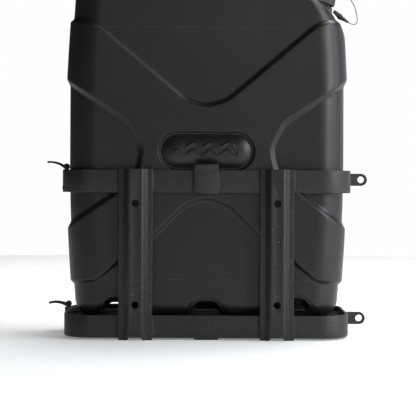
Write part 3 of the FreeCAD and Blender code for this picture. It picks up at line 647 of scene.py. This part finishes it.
def can_field(x, y, z):
    """Signed distance to the whole can, as far up as the seat of its neck."""
    half = half_width(z)
    plan = rounded_box_2d(x, y, half, PANEL_Y, CAN_CORNER)
    top = z - CAN_TOP
    slope = (x - SLOPE_POINT[0]) * math.sin(SLOPE_ANGLE) + (z - SLOPE_POINT[1]) * math.cos(SLOPE_ANGLE)
    crown = round_max(top, slope, CROWN_R)
    towards_side = np.clip((np.abs(x) - half + CAN_CORNER) / CAN_CORNER, 0, 1)
    body = round_max(plan, crown, RIM_R + RIM_SIDE_R * towards_side)
    body = round_max(body, CAN_FLOOR - z, FOOT_R)
    body = body - relief(x, z)
    body = round_max(body, -groove_field(x, y, z), GROOVE_EDGE_R)
    x0, x1, z0, _ = GRIP_GAP
    pocket = rounded_box_2d(x - (x0 + x1) / 2, z - z0 - FAR_CUT / 2, (x1 - x0) / 2, FAR_CUT / 2, GRIP_GAP_R)
    body = round_max(body, -pocket, FILLET_R)
    body = round_min(body, grip_field(x, y, z), FILLET_R)
    across, along = neck_frame(x, z)
    radial = np.hypot(across, y)
    body = round_max(body, -round_max(radial - SEAT_R, -along, SEAT_WALL_R), 3.0)
    pedestal = round_max(round_max(radial - PEDESTAL_R, along, 1.5), -PEDESTAL_HEIGHT - along, 1.0)
    body = round_min(body, pedestal, FILLET_R)
    bore = round_max(radial - NECK_BORE_R, -FAR_CUT - along, 5.0)
    return round_max(body, -bore, 0.8)


def make_can(material):
    """The can's whole outside as one closed mesh, finest round the badge."""
    voxel = 1.5
    low = (-178.0, -84.0, CAN_FLOOR - 1)
    high = (178.0, 84.0, GRIP_TOP + 1)
    badge_x, badge_z = (half + 2.0 for half in BADGE["outer"])
    fine = (((-badge_x, badge_x),), (), ((BADGE_Z - badge_z, BADGE_Z + badge_z),))
    mesh = field_mesh("can_shell", can_field, low, high, voxel, fine)
    mesh.materials.append(material)
    can = bpy.data.objects.new("can_shell", mesh)
    bpy.context.scene.collection.objects.link(can)
    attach(can, "tank")
    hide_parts("tank_body")
    return can


# ---------------------------------------------------------------- steel and other CAD nodes
EDGE_WIDTHS = {"powder_coat": 0.0004, "lever_black": 0.0006, "fastener": 0.0003, "crimp": 0.0003}
SHARP_ANGLE = math.radians(35.0)
FLAT_ANGLE = math.radians(0.1)    # facets closer than this to one plane become one face


def soften_edges(node, width):
    """Turn a CAD node's facets into clean faces and round its edges."""
    piece = bpy.data.objects[node]
    weld = piece.modifiers.new("weld", "WELD")
    weld.merge_threshold = 0.01 * MM
    clean = piece.modifiers.new("clean", "DECIMATE")
    clean.decimate_type = "DISSOLVE"
    clean.angle_limit = FLAT_ANGLE
    bevel = piece.modifiers.new("bevel", "BEVEL")
    bevel.width = width
    bevel.segments = 2
    bevel.limit_method = "ANGLE"
    bevel.angle_limit = SHARP_ANGLE
    bevel.harden_normals = False
    piece.data.shade_smooth()
    piece.data.set_sharp_from_angle(angle=SHARP_ANGLE)


def paint_nodes(materials):
    for entry in frame["record"]["subparts"]:
        piece = bpy.data.objects[entry["node"]]
        piece.data.materials.clear()
        piece.data.materials.append(materials[entry["material_slot"]])


# ---------------------------------------------------------------- neck and cap
# lift is the cap's lower edge over the seat; skirt, groove, total and thread_room are heights on the cap
CAP = {"lift": 2.5, "r": 34.9, "skirt": 24.0, "groove": 3.0, "core": 33.4, "total": 30.5,
       "bore": 32.0, "upper_bore": 29.8, "ceiling": 27.8, "thread_room": 20.0}
CAP_CHAMFER = 0.9
CAP_RIBS = 56
CAP_RIB_DEPTH = 1.0
CAP_RIM = 6.0                     # width of the raised rim on the cap's top
CAP_DISH = 1.2                    # depth of the top inside the rim
CAP_NIB_R = 7.0                   # low disc in the middle of the top
THREAD = {"lead": 6.0, "start": 9.0, "depth": 2.4, "fade": 1 / 12}
THREAD_SECTION = {"root_half": 1.3, "crest_half": 0.6, "bury": 0.4}
NECK_R = 29.0
NECK_HEIGHT = 25.9                # just under the gasket
NECK_FOOT = -6.0                  # the neck starts inside the can
NECK_BEAD = {"r": 30.5, "low": 4.4, "high": 7.2, "chamfer": 0.8}


def turned_part(profile, sides):
    """Closed turned shape from a loop of (radius, height, rib depth); a radius of 0 is a point."""
    vertices = []
    rows = []
    for r, z, rib in profile:
        start = len(vertices)
        if r == 0:
            rows.append([start] * sides)
            vertices.append((0.0, 0.0, z))
            continue
        rows.append([start + k for k in range(sides)])
        for k in range(sides):
            angle = 2 * math.pi * k / sides
            radius = r - rib * (0.5 - 0.5 * math.cos(CAP_RIBS * angle))
            vertices.append((radius * math.cos(angle), radius * math.sin(angle), z))
    faces = []
    pairs = list(zip(rows, rows[1:]))
    if profile[0][0] and profile[-1][0]:
        pairs.append((rows[-1], rows[0]))
    for row, following in pairs:
        for k in range(sides):
            after = (k + 1) % sides
            face = dict.fromkeys((row[k], row[after], following[after], following[k]))
            if len(face) > 2:
                faces.append(tuple(face))
    return vertices, faces


def helix_ridge(root_r, crest_r, turns, start_degrees, sides_per_turn=96):
    """Thread ridge of trapezoid section that fades in and out at its ends."""
    vertices = []
    faces = []
    steps = int(turns * sides_per_turn)
    root = THREAD_SECTION["root_half"]
    crown = THREAD_SECTION["crest_half"]
    buried = root_r - math.copysign(THREAD_SECTION["bury"], crest_r - root_r)
    for step in range(steps + 1):
        turn = step / sides_per_turn
        angle = 2 * math.pi * turn + math.radians(start_degrees)
        grown = min(1.0, turn / THREAD["fade"], (turns - turn) / THREAD["fade"])
        crest = buried + (crest_r - buried) * max(grown, 0.05)
        middle = THREAD["start"] + THREAD["lead"] * turn
        for r, dz in ((buried, -root), (crest, -crown), (crest, crown), (buried, root)):
            vertices.append((r * math.cos(angle), r * math.sin(angle), middle + dz))
    for step in range(steps):
        for k in range(4):
            a = 4 * step + k
            b = 4 * step + (k + 1) % 4
            faces.append((a, b, b + 4, a + 4))
    faces.append((0, 1, 2, 3))
    faces.append(tuple(4 * steps + k for k in range(4)))
    return vertices, faces


def on_neck(name, parts, material, body, node):
    """A piece built round the neck's axis from its seat upwards, in millimetres."""
    piece = join_parts(name, parts, material)
    place = Matrix.Translation((SEAT[0] * MM, 0.0, SEAT[1] * MM)) @ Matrix.Rotation(NECK_TILT, 4, "Y")
    piece.data.transform(place @ Matrix.Scale(MM, 4))
    piece.data.set_sharp_from_angle(angle=math.radians(40.0))
    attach(piece, body)
    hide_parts(node)


def make_neck(material):
    """Threaded neck with a bead above its foot and a broken edge at its mouth."""
    bore = NECK_BORE_R
    top = NECK_HEIGHT
    bead_r, low, high, chamfer = NECK_BEAD.values()
    outline = [(bore, NECK_FOOT), (NECK_R, NECK_FOOT), (NECK_R, low), (bead_r, low + chamfer),
               (bead_r, high - chamfer), (NECK_R, high), (NECK_R, top - 0.9), (NECK_R - 0.9, top),
               (bore + 0.7, top), (bore, top - 0.7)]
    wall = turned_part([(r, z, 0) for r, z in outline], 128)
    ridge = helix_ridge(NECK_R, NECK_R + THREAD["depth"], 2.0, 0.0)
    on_neck("neck_finish", [wall, ridge], material, "tank", "tank_body")


def make_cap(material):
    """Ribbed screw cap with a collar groove, a dished top and a thread inside."""
    r = CAP["r"]
    bore = CAP["bore"]
    core = CAP["core"]
    low = CAP["lift"]
    groove = low + CAP["skirt"]
    head = groove + CAP["groove"]
    top = low + CAP["total"]
    room = low + CAP["thread_room"]
    dish = top - CAP_DISH
    inside = [(0, CAP["ceiling"], 0), (CAP["upper_bore"], CAP["ceiling"], 0), (CAP["upper_bore"], room, 0),
              (bore, room, 0), (bore, low + 0.6, 0), (bore + 0.6, low, 0)]
    skirt = [(r - CAP_CHAMFER, low, 0), (r, low + CAP_CHAMFER, 0), (r, low + 2.6, 0),
             (r, low + 3.4, CAP_RIB_DEPTH), (r, groove - 2.0, CAP_RIB_DEPTH), (r - 0.1, groove - 1.2, 0),
             (r - 0.5, groove, 0)]
    head_side = [(core, groove, 0), (core, head, 0), (r - 0.4, head, 0), (r, head + 0.5, 0),
                 (r, top - 1.4, 0), (r - 0.4, top - 0.4, 0), (r - 1.4, top, 0)]
    head_top = [(r - CAP_RIM, top, 0), (r - CAP_RIM - CAP_DISH, dish, 0), (CAP_NIB_R + 1, dish, 0),
                (CAP_NIB_R, top - CAP_DISH / 2, 0), (0, top - CAP_DISH / 2, 0)]
    wall = turned_part(inside + skirt + head_side + head_top, 8 * CAP_RIBS)
    ridge = helix_ridge(bore, bore - THREAD["depth"], 1.5, 180.0)
    on_neck("screw_cap", [wall, ridge], material, "cap", "filler_cap")


# ---------------------------------------------------------------- weld beads
BEAD_R = 1.5
HOOK_BEAD_R = 1.2
BEAD_SPACING = 0.7                # between the rings of a bead's mesh
BEAD_RIPPLE = {"height": 0.13, "length": 2.1}
BAND_BEAD_INSET = 3.0             # from the band's edges to the ends of an upright's bead
HOOK_BEAD = (2.0, 22.0)           # heights over the band's lower edge
FLOOR_BEAD_LENGTH = 30.0
FLOOR_BEAD_INSET = 12.0           # from the beam's ends to the outer beads


def weld_bead(start, end, radius=BEAD_R):
    """Rippled bead half sunk in the corner that it fills, between two places in millimetres."""
    start = np.array(start) * MM
    end = np.array(end) * MM
    length = np.linalg.norm(end - start)
    points = evenly(np.array([start, end]), BEAD_SPACING * MM)
    along = np.linspace(0, length, len(points))
    ends = np.minimum(1, np.minimum(along, length - along) / (radius * MM))
    waves = along / (BEAD_RIPPLE["length"] * MM)
    ripple = 1 + BEAD_RIPPLE["height"] * np.sin(2 * math.pi * waves)
    radii = radius * MM * np.sqrt(np.clip(ends * (2 - ends), 0.03, 1)) * ripple
    return tube_part(points, carried_frames(points), radii, 10)


def box_mm(node):
    """Low and high corners of a CAD node's box, in millimetres."""
    return tuple(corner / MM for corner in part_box(node))


def make_welds(material):
    """Beads where the uprights and the hook meet the bands, and under the floor."""
    parts = []
    face_y = box_mm("left_channel")[1][1]
    for band in ("upper_rear_band", "lower_rear_band"):
        low, high = box_mm(band)
        z0 = low[2] + BAND_BEAD_INSET
        z1 = high[2] - BAND_BEAD_INSET
        for channel in ("left_channel", "right_channel"):
            for corner in box_mm(channel):
                parts.append(weld_bead((corner[0], face_y, z0), (corner[0], face_y, z1)))
    band_z = box_mm("upper_rear_band")[0][2]
    z0, z1 = (band_z + height for height in HOOK_BEAD)
    for corner in box_mm("strap_hook"):
        parts.append(weld_bead((corner[0], face_y, z0), (corner[0], face_y, z1), HOOK_BEAD_R))
    beam_low, beam_high = box_mm("floor_beam")
    plate_z = box_mm("floor_plate")[0][2]
    starts = (beam_low[1] + FLOOR_BEAD_INSET, -FLOOR_BEAD_LENGTH / 2,
              beam_high[1] - FLOOR_BEAD_INSET - FLOOR_BEAD_LENGTH)
    for x in (beam_low[0], beam_high[0]):
        for y in starts:
            parts.append(weld_bead((x, y, plate_z), (x, y + FLOOR_BEAD_LENGTH, plate_z)))
    beads = join_parts("weld_beads", parts, material)
    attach(beads, "holder")


# ---------------------------------------------------------------- lanyard
LANYARD = ((178.64, -40.0, 398.22), (183.9, -40.0, 394.8), (189.8, -39.6, 396.8), (190.0, -38.6, 404.8),
           (187.6, -37.4, 416.5), (182.8, -35.6, 426.4), (176.9, -33.4, 433.7), (173.39, -31.81, 438.69))
LANYARD_DIAMETER = 0.0012
LAY_LENGTH = 0.008                # one turn of a strand round the core
STRAND_SPACING = 0.0004           # between the rings of a strand's mesh
STRANDS = 6
STRAND_SIDES = 8


def route_points(route):
    """Points along the smooth spline whose control points are the route, in metres."""
    data = bpy.data.curves.new("route", "CURVE")
    data.dimensions = "3D"
    data.resolution_u = 16
    spline = data.splines.new("NURBS")
    spline.points.add(len(route) - 1)
    for point, place in zip(spline.points, route):
        point.co = (*(value * MM for value in place), 1.0)
    spline.order_u = 3
    spline.use_endpoint_u = True
    guide = bpy.data.objects.new("route", data)
    bpy.context.scene.collection.objects.link(guide)
    bpy.context.view_layer.update()
    mesh = bpy.data.meshes.new_from_object(guide)
    points = np.array([vertex.co for vertex in mesh.vertices])
    bpy.data.objects.remove(guide)
    bpy.data.meshes.remove(mesh)
    return points


def evenly(points, spacing):
    """Points at equal distances along a path, about a spacing apart."""
    lengths = np.concatenate([[0], np.cumsum(np.linalg.norm(np.diff(points, axis=0), axis=1))])
    count = max(2, int(round(lengths[-1] / spacing)))
    wanted = np.linspace(0, lengths[-1], count + 1)
    return np.stack([np.interp(wanted, lengths, points[:, axis]) for axis in range(3)], axis=1)


def carried_frames(points):
    """Tangent, side and up vectors along a path, carried without twist."""
    tangents = np.gradient(points, axis=0)
    tangents /= np.linalg.norm(tangents, axis=1)[:, None]
    side = np.cross(tangents[0], (0.0, 0.3, 1.0))
    frames = []
    for tangent in tangents:
        side = side - tangent * (side @ tangent)
        side /= np.linalg.norm(side)
        frames.append((tangent, side, np.cross(tangent, side)))
    return frames


def tube_part(points, frames, radius, sides):
    """Vertices and faces of a capped tube round a path; radius may vary along it."""
    radii = np.broadcast_to(radius, len(points))
    vertices = []
    faces = []
    for point, (_, side, up), r in zip(points, frames, radii):
        for k in range(sides):
            angle = 2 * math.pi * k / sides
            vertices.append(point + r * (side * math.cos(angle) + up * math.sin(angle)))
    for ring in range(len(points) - 1):
        for k in range(sides):
            a = ring * sides + k
            b = ring * sides + (k + 1) % sides
            faces.append((a, b, b + sides, a + sides))
    faces.append(tuple(reversed(range(sides))))
    last = (len(points) - 1) * sides
    faces.append(tuple(range(last, last + sides)))
    return vertices, faces


def join_parts(name, parts, material):
    """One smooth-shaded object from several (vertices, faces) parts."""
    vertices = []
    faces = []
    for part_vertices, part_faces in parts:
        offset = len(vertices)
        vertices.extend(tuple(float(c) for c in vertex) for vertex in part_vertices)
        faces.extend(tuple(index + offset for index in face) for face in part_faces)
    mesh = bpy.data.meshes.new(name)
    mesh.from_pydata(vertices, [], faces)
    shape = bmesh.new()
    shape.from_mesh(mesh)
    bmesh.ops.recalc_face_normals(shape, faces=shape.faces)
    shape.to_mesh(mesh)
    shape.free()
    mesh.shade_smooth()
    mesh.materials.append(material)
    piece = bpy.data.objects.new(name, mesh)
    bpy.context.scene.collection.objects.link(piece)
    return piece


def make_lanyard(material):
    """Wire rope: a core and the strands laid round it."""
    points = evenly(route_points(LANYARD), STRAND_SPACING)
    frames = carried_frames(points)
    strand_r = LANYARD_DIAMETER / 6
    parts = [tube_part(points, frames, strand_r, STRAND_SIDES)]
    distance = np.arange(len(points)) * STRAND_SPACING
    for strand in range(STRANDS):
        angles = 2 * math.pi * (distance / LAY_LENGTH + strand / STRANDS)
        lay = np.array([point + 2 * strand_r * (side * math.cos(a) + up * math.sin(a))
                        for point, (_, side, up), a in zip(points, frames, angles)])
        parts.append(tube_part(lay, frames, strand_r, STRAND_SIDES))
    wire = join_parts("lanyard_wire", parts, material)
    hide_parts("lanyard_cable")
    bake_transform(wire)


# ---------------------------------------------------------------- build
add_camera()
add_world()
add_lights()
add_stage()
MATERIALS = {
    "powder_coat": powder_coat(),
    "fastener": black_oxide(),
    "lever_black": lever_paint(),
    "can_plastic": moulded_plastic(),
    "cap_plastic": cap_plastic(),
    "seal": seal_rubber(),
    "wire": wire_rope(),
    "crimp": crimp_black(),
}
paint_nodes(MATERIALS)
# the floor plate gets the darker, duller copy of the coat, painted shade
bpy.data.objects["floor_plate"].data.materials[0] = painted_shade_floor_coat()
make_lanyard(MATERIALS["wire"])
make_can(MATERIALS["can_plastic"])
make_neck(MATERIALS["can_plastic"])
make_cap(MATERIALS["cap_plastic"])
make_welds(MATERIALS["powder_coat"])
for entry in frame["record"]["subparts"]:
    width = EDGE_WIDTHS.get(entry["material_slot"])
    if width:
        soften_edges(entry["node"], width)
